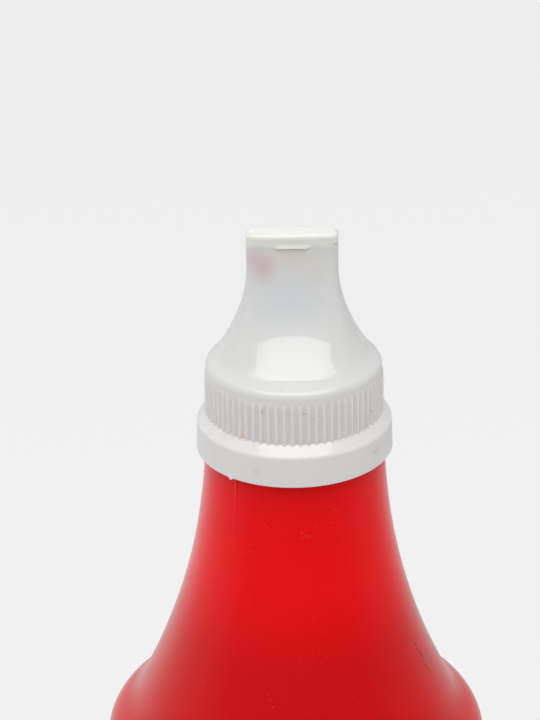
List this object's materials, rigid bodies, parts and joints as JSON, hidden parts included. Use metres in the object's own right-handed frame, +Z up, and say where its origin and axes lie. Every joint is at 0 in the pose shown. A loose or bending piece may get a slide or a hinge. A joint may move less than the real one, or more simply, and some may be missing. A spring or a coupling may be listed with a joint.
{
  "type": "ketchup bottle",
  "caption": "Round red squeeze bottle with a flared neck, and a white cap with a ribbed collar, a flat tapering spout and a shut flip lid with a thumb tab.",
  "frame": {"origin": "middle of the base, on the surface that the bottle stands on", "axes": "+Z up along the bottle's axis, -Y towards the lid's thumb tab, +X to the right seen from the front, along the spout's wide way"},
  "size_m": [0.0924, 0.0924, 0.2395],
  "materials": {
    "red_plastic": "satin blow-moulded polyethylene, opaque red, with a faint upright mould line",
    "white_plastic": "smooth injection-moulded polypropylene, milky white and slightly translucent"
  },
  "bodies": {
    "root": {"bottle": "red_plastic", "cap": "white_plastic", "lid": "white_plastic"}
  },
  "joints": []
}
